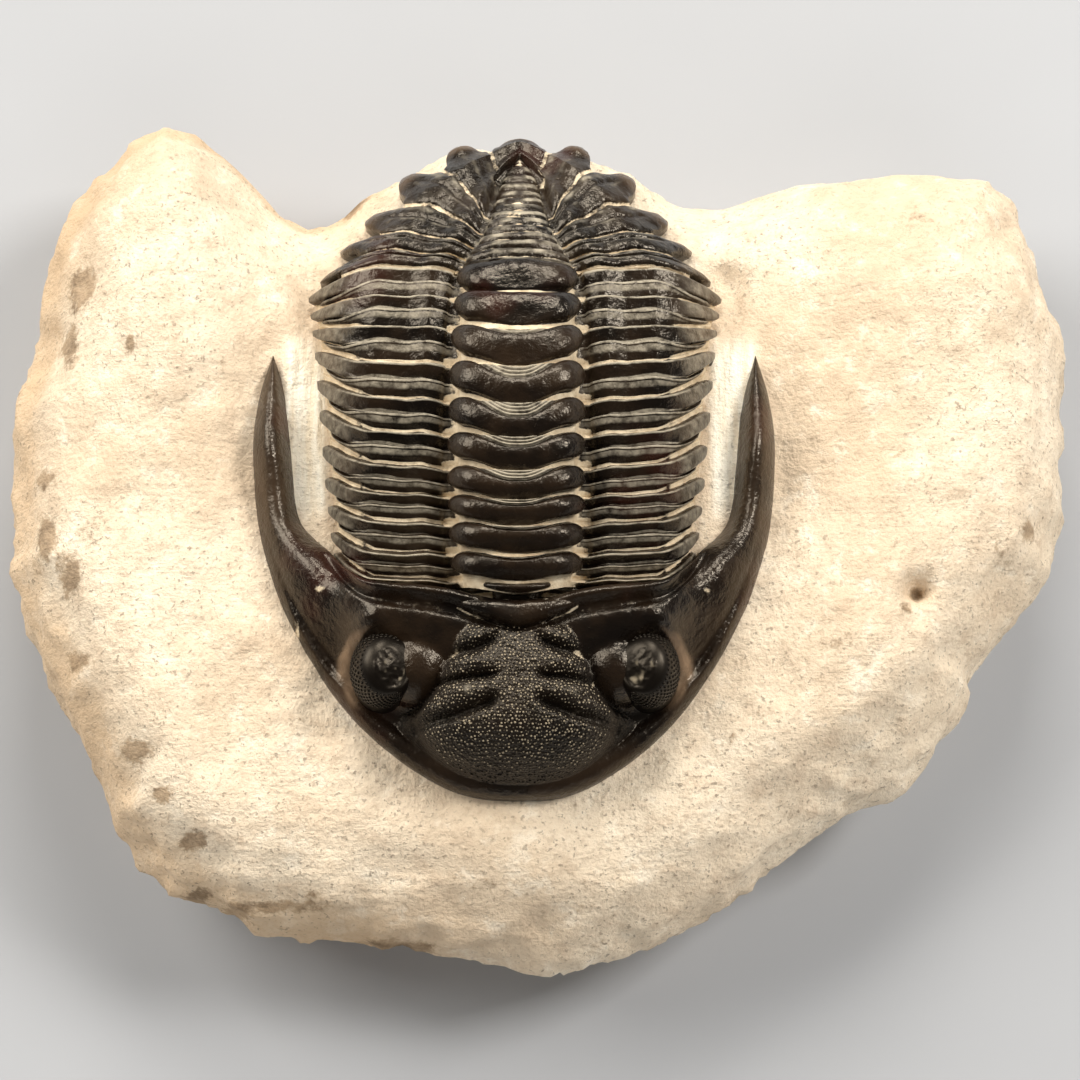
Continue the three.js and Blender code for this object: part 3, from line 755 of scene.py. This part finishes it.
# %% The head's middle
PAD_WIDTH = [
    [-21.1, 0.0], [-20.9, 2.2], [-20.4, 3.9], [-19.7, 5.2], [-18.9, 6.3], [-18.0, 7.0],
    [-17.0, 7.4], [-16.2, 7.2], [-15.4, 6.45], [-14.4, 5.8], [-13.0, 5.3], [-11.6, 4.85],
    [-10.2, 4.35],
]
PAD_TOP = [
    [-21.1, 17.2], [-20.6, 18.8], [-19.8, 20.7], [-18.9, 22.2], [-18.0, 23.2], [-17.0, 23.8],
    [-16.0, 24.1], [-14.0, 24.4], [-12.0, 24.5], [-10.2, 24.3],
]
PAD_FOOT = [
    [-21.1, 16.6], [-20.0, 17.2], [-18.0, 18.6], [-16.0, 20.3], [-14.0, 21.3], [-10.2, 21.8],
]
NECK_FOOT, NECK_HEIGHT = 21.8, 3.0
CUTS = [  # from the side to the inner end, depth and half-width of each pair of furrows
    ([[5.2, -12.3], [3.0, -12.0], [1.2, -11.2]], 1.0, 0.36),
    ([[5.9, -14.25], [3.5, -14.15], [1.5, -14.0]], 0.9, 0.26),
    ([[7.2, -17.1], [4.5, -16.75], [1.5, -15.8]], 1.1, 0.42),
]
LOBES = [  # middle, reach along x and y, height
    (3.2, -11.1, 1.1, 0.55, 0.35), (3.3, -13.1, 1.4, 0.6, 0.5), (4.0, -15.2, 1.7, 0.6, 0.45),
]


def bumps(table, x, y):
    """The sum of elliptical bells: middle, reach along x and y, and height, 1 if not given."""
    total = 0.0
    for row in table:
        far = np.hypot((x - row[0]) / row[2], (y - row[1]) / row[3])
        total = total + (row[4] if len(row) > 4 else 1.0) * bell(far)
    return total


def distance_to(points, x, y, closed=False):
    """The distance from each x, y to the nearest stretch of a line through the points."""
    a = np.asarray(points, float)
    b = np.roll(a, -1, 0)
    if not closed:
        a, b = a[:-1], b[:-1]
    nearest = np.full(np.shape(x), np.inf)
    for (ax, ay), (bx, by) in zip(a, b):
        dx, dy = bx - ax, by - ay
        t = np.clip(((x - ax) * dx + (y - ay) * dy) / (dx**2 + dy**2), 0, 1)
        nearest = np.minimum(nearest, np.hypot(x - mix(ax, bx, t), y - mix(ay, by, t)))
    return nearest


def head_middle(x, y):
    """Height of the pad and the neck ring, and how deep a point lies in a furrow of the pad. Across
    the pad the height follows a flattened arch between its foot and its top."""
    s = np.abs(x)
    u = s / np.maximum(along(PAD_WIDTH, y), 1e-3)
    foot, top = along(PAD_FOOT, y), along(PAD_TOP, y)
    arch = np.clip(1 - u**2.6, 0, 1) ** 0.5
    pad = np.where(u < 1, mix(foot, top, arch), foot - 12 * (u - 1))
    cut = sum(depth * bell(distance_to(line, s, y) / wide) for line, depth, wide in CUTS)
    cut = cut * smooth(0.9, 2.2, s)
    t = np.clip(s / 4.6, 0, 1)
    pad = pad - cut + bumps(LOBES, s, y) - 8 * smooth(-0.35, 0.35, y - mix(-10.75, -9.7, t))
    r2 = (s / 5.2) ** 2 + ((y - mix(-9.55, -8.6, t)) / mix(1.25, 0.8, t)) ** 2
    arch = NECK_HEIGHT * np.sqrt(np.clip(1 - r2**1.6, 0, 1))
    neck = NECK_FOOT + np.where(r2 < 1, arch, -4 * (r2 - 1))
    return swell(pad, neck, 0.1), np.clip(cut, 0, 1)


print("pad height at the brow:", round(float(head_middle(np.array(0.0), np.array(-17.0))[0]), 2))

# %% [markdown]
# The cheeks slope from the eyes to the rim. Outside each eye runs a brown crescent, the eye's
# socle, and inside it a low platform joins the eye to the pad.

# %% The head's cheeks
EYE_X, EYE_Y, EYE_A, EYE_B = 9.75, -12.85, 2.35, 2.75  # an eye's base
REAR_FURROW, REAR_BAND = 0.885, 0.955
CRUMBS = [(-14.4, -6.85, 0.7, 0.35), (14.2, -6.9, 0.6, 0.35), (-16.2, -9.6, 0.32, 1.2)]


def head_height(x, y, inward, width, forward, seat):
    """Height of the head's sheet, how full its furrows are, and where it is brown or worn."""
    s = np.abs(x)
    foot = mix(17.2, 16.0, smooth(0, 0.4, forward))
    spine = foot + 0.8 * width * np.sin(np.pi * np.clip(inward, 0, 1)) ** 0.7
    rim = 1.8 * dome(1 - np.minimum(1, inward / 0.13)) - 0.3 * bell((inward - 0.2) / 0.06)
    late = smooth(0.5, 0.66, forward)
    band = 0.5 * bell((inward - REAR_BAND) / 0.035) * late
    furrow = 0.55 * bell((inward - REAR_FURROW) / 0.04) * late
    edge = smooth(0.985, 1, inward)
    climb = (np.minimum(seat, 22.3) - 19.5) * smooth(0.42, 0.95, inward) * late
    slope = 16.1 + 3.2 * smooth(0.16, 0.75, inward)
    cheek = slope + rim + climb + band - furrow - 0.8 * edge
    eye = np.hypot((s - EYE_X) / EYE_A, (y - EYE_Y) / EYE_B)
    outside = smooth(-0.5, 0.3, (s - EYE_X) / EYE_A)
    cheek = cheek + 0.6 * bell((eye - 1.2) / 0.3) * outside * smooth(-15.8, -12.5, y)
    r2 = ((s - 7.2) / 3.1) ** 2 + ((y + 12.5) / 3.0) ** 2
    platform = 19.0 + 3.6 * np.clip(1 - r2, 0, 1) ** 0.55 - 3 * np.clip(r2 - 1, 0, None)
    cheek = swell(cheek, platform, 0.5)
    middle, cut = head_middle(x, y)
    into = smooth(0.38, 0.68, forward)
    z = mix(spine, swell(cheek, middle, 0.1), into)
    crease = bell((middle - cheek) / 0.3) * smooth(0.3, 0.5, inward) * smooth(-18, -14, y)
    filling = 0.35 * crease + late * (0.3 * bell((inward - REAR_FURROW) / 0.02) + 0.5 * edge)
    filling = filling * into + 0.6 * bumps(CRUMBS, x, y) + 0.25 * cut
    broad = mix(1.15, 1.45, smooth(-16, -11.5, y)) * (1 + 0.1 * noise(x, y, 0, 0.8, 73))
    socle = outside * smooth(0.95, 1.05, eye) * smooth(broad + 0.25, broad - 0.15, eye)
    socle = socle * smooth(-16, -14, y) * smooth(-9.6, -10.8, y)
    brown = (0.8 + 0.25 * noise(x, y, 0, 0.6, 74)) * socle
    brown = brown + 0.2 * bell((inward - 0.08) / 0.08) * into + 0.3 * (1 - into)
    wear_and_highlight = bumps(LOBES, s, y) * (0.4 + 0.6 * noise(x, y, 0, 0.7, 72))
    on_pad = smooth(0, 0.4, middle - cheek) * into * smooth(-10.2, -11, y)
    values = {"filling": filling, "brown": brown, "wear_and_highlight": wear_and_highlight, "grainy": on_pad}
    return z, {key: np.clip(value, 0, 1) for key, value in values.items()}


turn = np.linspace(0.002, 0.998, 440)[:, None]
inward = np.concatenate([
    np.linspace(0, 0.2, 50), np.linspace(0.205, 0.8, 110), np.linspace(0.805, 1, 56),
])[None, :]
outer, inner = head_edges(turn[:, 0])
width = np.linalg.norm(outer - inner[:, :2], axis=-1)[:, None]
x = mix(outer[:, None, 0], inner[:, None, 0], inward)
y = mix(outer[:, None, 1], inner[:, None, 1], inward)
z, values = head_height(x, y, inward, width, 1 - np.abs(2 * turn - 1), inner[:, None, 2])
z = z + 0.05 * rough(x, y, z, 2.0, 70)
head = plate("head_shield", placed(x, y, z), PLATE_FLOOR, values, True)
finish_piece(head, shell, "shell", "cephalon")

# %% [markdown]
# ## The eyes
# The eyes are crescents of lenses that lean in against a small lid. Each is a skin of its own:
# ellipses stacked from a wide base to a small rim nearer the midline, with a bulge between, and
# then closed over the lid. Towards the midline the band of lenses sinks into the cheek. The eyes
# are duller and blacker than the shell, and share their finish with the grains on the brow.

# %% Eyes
RIM_X, RIM_Y, RIM_Z, RIM_A, RIM_B = 9.1, -13.25, 22.75, 1.25, 1.6  # an eye's rim
WALL_END, LID_START = 0.1, 0.6
LID_PIT = [(8.5, -13.9, 0.6, 0.6)]

grain_finish, shader, place, read = new_material("shell_grain")
tint = (read("wear_and_highlight") * (0.5 + place.grain(900, 2))).step(0.2, 0.85)
colour = tint.paint((0.003, 0.002, 0.0015), (0.33, 0.27, 0.185))
connect(shader, {"Base Color": colour, "Roughness": 0.38 + 0.3 * tint})
connect(shader, {"Specular IOR Level": 0.35, "Specular Tint": (1.0, 0.85, 0.66, 1.0)})


def eye_point(side, angle, t):
    """Angle 0 points away from the midline. Up to WALL_END the ellipse grows under the cheek and
    rises out of it as a short wall, up to LID_START it climbs from base to rim along a quarter
    circle, and then it shrinks over the lid, which has a pit."""
    under = 1 - np.clip(t / WALL_END, 0, 1)
    climb = np.clip((t - WALL_END) / (LID_START - WALL_END), 0, 1)
    lid = np.clip((t - LID_START) / (1 - LID_START), 0, 1)
    lean = 1 - np.sqrt(np.clip(1 - climb**1.8, 0, 1))
    scale = np.minimum(np.clip((1 - under) / 0.4, 0, 1), 1 - lid)
    inside = smooth(0.1, 0.95, -np.cos(angle))
    base, rim = mix(19.3, 21.4, inside), RIM_Z + 0.6 * np.cos(angle) + 0.25 * np.sin(angle)
    x = mix(EYE_X, RIM_X, lean) + mix(EYE_A, RIM_A, lean) * scale * np.cos(angle)
    y = mix(EYE_Y, RIM_Y, lean) + mix(EYE_B, RIM_B, lean) * scale * np.sin(angle)
    z = mix(RIM_Z, mix(base, rim, climb**0.85), 1 - lid) - 2.6 * smooth(0, 0.6, under)
    z = z + 0.4 * np.sin(0.5 * np.pi * lid) - 0.3 * bumps(LID_PIT, x, y) * lid
    z = z + 0.09 * rough(x, y, 0, 0.8, 81) * smooth(0, 0.2, lid)
    return placed(side * x, y, z)


angle = np.linspace(0, 2 * np.pi, 120, endpoint=False)[:, None]
t = np.linspace(1, 0, 80)[None, :]
for side, name in ((1, "left"), (-1, "right")):
    grid = eye_point(side, angle * side, t)
    own = (grid[..., 0] - AXIS_X) * side
    on_lid, on_wall = smooth(0.6, 0.7, t), smooth(0.12, 0.08, t)
    pit = 0.24 * bumps(LID_PIT, own, grid[..., 1]) * on_lid
    chips = 0.5 * (on_lid + on_wall) * noise(*np.moveaxis(grid, -1, 0), 0.35, 82)
    eye = skin(f"eye_{name}", grid, {"wear_and_highlight": np.clip(pit + chips, 0, 1)})
    finish_piece(eye, grain_finish, "shell")

# %% [markdown]
# ## Grains
# The brow and its lobes are set with fine round grains whose worn tips are paler. One small dome,
# copied to many places as one array, makes all of them.

# %% Grains
SIDES = 7
GRAIN_GAP = 0.25
STEP = 0.05  # for slopes


def domes(name, middles, normals, radii, heights, wear_and_highlight):
    """Many low domes in one mesh: each is a flat base and a disc of rings, lifted as half a ball
    along the normal of the surface that it sits on."""
    angle = np.linspace(0, 2 * np.pi, SIDES, endpoint=False)[:, None]
    level = np.array([1.0, 0.6])
    parts = np.cos(angle) * level, np.sin(angle) * level, np.sqrt(1 - level**2)
    ring = np.stack(np.broadcast_arrays(*parts), -1)
    ball = np.concatenate([ring.reshape(-1, 3), [[0, 0, 1.0]]])
    normals = unit(normals)
    other = np.where(np.abs(normals[:, :1]) < 0.7, [[1, 0, 0]], [[0, 1, 0]])
    one = unit(np.cross(other, normals))
    axes = np.stack([one, np.cross(normals, one), normals], 1)
    scale = np.stack([radii, radii, heights], -1)
    points = (middles[:, None] + (ball[None] * scale[:, None]) @ axes).reshape(-1, 3)
    a = np.arange(2 * SIDES).reshape(SIDES, 2)
    base = a[::-1, 0]
    a = np.concatenate([a, a[:1]])
    four = np.array(quads(a))
    three = np.stack([a[:-1, 1], a[1:, 1], np.full(SIDES, 2 * SIDES)], -1)
    shift = len(ball) * np.arange(len(middles))[:, None, None]
    faces = (four + shift).reshape(-1, 4).tolist() + (three + shift).reshape(-1, 3).tolist()
    faces += (base + shift[:, 0]).tolist()
    tone = wear_and_highlight[:, None] * np.append(np.tile([0.1, 0.9], SIDES), 1.0)
    return mesh_object(name, points, faces, {"wear_and_highlight": tone.ravel()})


def scatter(rng, gap):
    """Places on the pad: a lattice of the given gap, each point shaken by up to a third of it."""
    x, y = np.meshgrid(np.arange(-7.2, 7.2, gap), np.arange(-21, -9.5, gap))
    x = x + gap * (0.5 * (np.arange(len(x)) % 2)[:, None] + rng.uniform(-0.33, 0.33, x.shape))
    y = y + gap * rng.uniform(-0.33, 0.33, y.shape)
    inside = (np.abs(x) < 0.93 * along(PAD_WIDTH, y)) & (y < -10.5 + 0.1 * np.abs(x))
    return x[inside], y[inside]


rng = np.random.default_rng(11)
x, y = scatter(rng, GRAIN_GAP)
z, cut = head_middle(x, y)
radii = rng.uniform(0.06, 0.12, len(x)) * (1 - 0.4 * cut)
shiny = rng.uniform(0.4, 1, len(x)) * smooth(-21.3, -19.3, y) * (1 - 0.6 * cut)
slopes = [head_middle(x + dx, y + dy)[0] - z for dx, dy in ((STEP, 0), (0, STEP))]
slope_x, slope_y = np.clip(np.array(slopes) / STEP, -3, 3)
normals = np.stack([-slope_x, -slope_y, np.ones_like(z)], -1)
grains = domes("brow_grains", placed(x, y, z - 0.02), normals, radii, radii, shiny)
finish_piece(grains, grain_finish, "shell")

# %% [markdown]
# ## Lenses
# The same domes in rows make the eyes' lenses. Each stands on the eye's normal, the cross product
# of a small step round the eye and one up.

# %% Lenses
LENS_FILES, LENS_ROWS, LENS_SIZE = 25, 8, 0.135

for side, name in ((1, "left"), (-1, "right")):
    file, row = np.meshgrid(np.arange(LENS_FILES), np.arange(LENS_ROWS))
    angle = np.radians(-122 + 9.8 * (file + 0.5 * (row % 2))).ravel()
    t = (0.17 + 0.052 * row).ravel()
    size = np.full(len(t), LENS_SIZE)
    middles = eye_point(side, angle, t)
    round_step = eye_point(side, angle + 0.01, t) - middles
    up_step = eye_point(side, angle, t + 0.005) - middles
    normals = side * np.cross(round_step, up_step)
    wear_and_highlight = rng.uniform(0, 0.25, len(t))
    lenses = domes(f"lenses_{name}", middles, normals, size, 0.7 * size, wear_and_highlight)
    finish_piece(lenses, grain_finish, "shell")

# %% [markdown]
# ## The slab
# The slab's outline is a closed curve. Its top is a level with broad swells, rounded off towards
# the outline by the distance to it, so the rim stays even where the outline turns in beside the
# tail. Round the animal the stone sinks into a moat and banks up under the ribs' tips, and the
# gutter between body and cheek spine carries the marks of the tool.

# %% The slab's shape
STONE_OUTLINE = [
    [41.65, 7.7], [41.65, 11.6], [41.6, 17.1], [40.6, 21.0], [39.3, 23.6], [38.1, 27.3],
    [36.0, 29.5], [31.5, 29.9], [25.9, 30.1], [20.2, 29.3], [15.7, 28.1], [12.1, 27.8], [9.6, 28.9],
    [7.0, 30.8], [4.1, 31.5], [1.2, 32.0], [-4.9, 32.4], [-7.3, 32.3], [-9.3, 31.3], [-10.9, 30.4],
    [-12.5, 29.2], [-14.5, 28.0], [-16.3, 26.6], [-18.5, 26.2], [-20.7, 27.0], [-22.4, 28.7],
    [-24.7, 31.0], [-27.2, 33.1], [-30.0, 33.8], [-32.8, 32.3], [-35.6, 29.4], [-37.7, 26.9],
    [-38.9, 23.7], [-39.9, 18.5], [-40.4, 14.0], [-41.5, 10.8], [-41.9, 7.5], [-41.3, 1.5],
    [-41.1, -3.9], [-39.6, -7.9], [-37.4, -12.6], [-34.6, -17.4], [-32.9, -20.8], [-31.9, -23.7],
    [-29.6, -26.6], [-25.8, -29.0], [-21.2, -30.8], [-15.1, -31.5], [-9.5, -32.1], [-4.5, -32.8],
    [0.4, -33.7], [4.9, -33.1], [9.4, -31.2], [13.1, -29.2], [16.6, -26.7], [19.7, -24.1],
    [23.5, -21.8], [26.8, -20.6], [29.8, -17.9], [32.5, -14.8], [33.5, -12.5], [33.6, -11.1],
    [36.6, -6.8], [39.4, -3.1], [40.8, 1.4],
]
CENTRE = np.array([-8.0, 1.0])
EDGE_Z = 8.5  # height of the widest line
LEVEL = 17.0  # height of the top
FINE = 4000  # points to measure the outline with
SWELLS = [  # middle, reach along x and y, rise
    (-28, 18, 7.5, 15, 3.0), (29, 16, 10, 14, 2.2), (-18, 28, 6, 11, -3.4), (13, 29, 5, 7, -2.5),
    (-2, 33, 15, 13, -4.6), (-30, -12, 12, 14, 0.8), (3, -31, 24, 9, -2.2), (24, -8, 9, 9, 0.9),
    (28.3, -6.1, 1.0, 0.9, -2.2), (29.5, -7.5, 3.0, 2.5, -0.5),
]
STAINS = [  # middle, reach along x and y, strength
    (-35.0, 18.3, 1.3, 1.9), (-36.2, 13.6, 1.0, 2.6), (-37.8, 2.8, 1.2, 1.0),
    (-37.4, -1.6, 0.7, 1.4), (-35.2, -4.9, 1.0, 1.5), (-31.1, 12.8, 0.5, 1.0),
    (-30.2, -18.0, 1.4, 1.0), (-27.9, -21.4, 1.1, 0.7), (-25.4, -24.6, 1.2, 0.7),
    (-34.4, -11.1, 1.3, 0.8), (-25.7, -28.0, 1.6, 0.5), (-21.0, -29.2, 4.5, 0.6),
    (-10.4, -31.8, 4.5, 0.5), (28.2, -6.2, 0.7, 0.7), (27.3, -7.6, 0.5, 0.6, 0.7),
    (37.2, -0.7, 0.6, 0.9), (-15.2, 27.0, 1.8, 1.2, 0.6),
]


def slab_top(x, y):
    """Height of the stone's top, and the gutter's share: level, swells, moat, banks and noise."""
    own = x - AXIS_X
    s = np.abs(own)
    moat = distance_to(spline(WHOLE_MARGIN, np.linspace(0, 1, 60)), own, y)
    gutter = smooth(14.2, 15.0, s) * smooth(18.6, 17.6, s)
    gutter = gutter * smooth(-1.5, 1.5, y) * smooth(15, 11.5, y)
    top = LEVEL + bumps(SWELLS, x, y) - 0.7 * bell(moat / 2.2) * (1 - gutter)
    scratch = noise(0.16 * (x + 0.6 * y), 1.3 * (y - 0.6 * x), 0, 1.0, 26)
    top = top + 0.45 * rough(x, y, 0, 9.0, 20) + 0.13 * rough(x, y, 0, 2.4, 24) + 0.05 * scratch
    weight, bank = 1e-6, 0.0
    tips = [body_lines(np.array(station))["tip"] for station in np.arange(0.5, 12.1, 0.5)]
    for back in np.linspace(0.08, 1, 14):
        tips.append(rib(tail_lines(np.array(back)), np.array(1.0), 0.85))
    for tip_x, tip_y, tip_z in tips:
        near = bell(np.hypot(s - tip_x + 0.4, y - tip_y) / 1.2)
        weight, bank = weight + near, bank + near * (tip_z - 0.95)
    top = mix(top, bank / weight, 1 - np.exp(-2 * weight))
    streak = noise(3.2 * s, 0.35 * y, 0, 1.0, 28)
    return top + 0.12 * gutter * streak, gutter


turns = np.linspace(0, 1, 500, endpoint=False)
rows = np.concatenate([
    [0, 0.08], np.linspace(0.16, 0.992, 150), np.linspace(1, 2, 34), [2.03, 2.4, 3.0],
])
edge = spline(STONE_OUTLINE, np.linspace(0, 1, FINE, endpoint=False), True)
steps = np.linalg.norm(np.diff(edge, axis=0, append=edge[:1]), axis=1)
length = np.append(0, np.cumsum(steps))
even = np.interp(turns * length[-1], length, np.linspace(0, 1, FINE + 1))
edge = spline(STONE_OUTLINE, even, True)
print("outline length", round(float(length[-1]), 1), "mm")

# %% [markdown]
# The slab is one skin. Depth 0 is the middle of the top, 1 the widest line, 2 the edge of the base
# and 3 its middle. Near the rim the stone is broken: noise whose creases point outwards pushes the
# surface in and out, straight away from the slab's middle.

# %% The slab


def slab_grid(edge, depth):
    """On top, the height goes from the widest line to the top along a quarter circle of the
    distance to the outline, less the flakes that broke off there. Below, the side leans in."""
    under = np.clip(depth - 1, 0, 1)
    side = np.where(depth <= 2, 1 - 0.09 * under**1.5, 0.91 * (3 - depth))
    inset = np.where(depth <= 1, depth, side)
    x = mix(CENTRE[0], edge[:, :1], inset)
    y = mix(CENTRE[1], edge[:, 1:], inset)
    radius = mix(8.5, 1.9, bell(np.hypot(x + 2, y - 33) / 13))
    near = np.minimum(1, distance_to(STONE_OUTLINE, x, y, True) / radius)
    up = dome(1 - near) * (depth < 1)
    top, gutter = slab_top(x, y)
    z = np.where(depth <= 1, mix(EDGE_Z, top, up), EDGE_Z * np.clip(2 - depth, 0, 1))
    flakes = 0.35 - 1.2 * np.abs(noise(x, y, 0, 6.5, 36)) - 0.5 * np.abs(noise(x, y, 0, 2.6, 37))
    z = z + flakes * smooth(1.0, 0.8, up) * smooth(0, 0.3, up)
    near_rim = smooth(0.84, 1.0, depth) * smooth(2.0, 1.8, depth)
    chip = 0.7 - 1.1 * np.abs(noise(x, y, z, 5.0, 30)) - 0.5 * np.abs(noise(x, y, z, 2.1, 31))
    layers = 0.9 * np.abs(noise(x, y, 1.6 * z, 3.2, 33)) + 0.35 * np.abs(noise(x, y, z, 1.2, 34))
    chip = chip + 0.18 * noise(x, y, z, 0.9, 32) - smooth(1.03, 1.2, depth) * (layers - 0.2)
    away = unit(np.stack([x, y], -1) - CENTRE)
    grid = np.stack([x, y, z], -1)
    grid[..., :2] += away * ((chip - 0.45) * near_rim)[..., None]
    return grid, gutter * (depth < 1), smooth(0.80, 1.0, depth) * smooth(10, -25, x)


grid, scuff_and_painted_light, rim = slab_grid(edge, rows[None, :])
stain = np.clip(bumps(STAINS, grid[..., 0], grid[..., 1]), 0, 1) * smooth(1.2, 1.0, rows)
stone = skin("limestone_slab", grid, {"stain": stain, "scuff_and_painted_light": scuff_and_painted_light, "rim": rim})
finish_piece(stone, limestone, "limestone", "limestone_matrix")
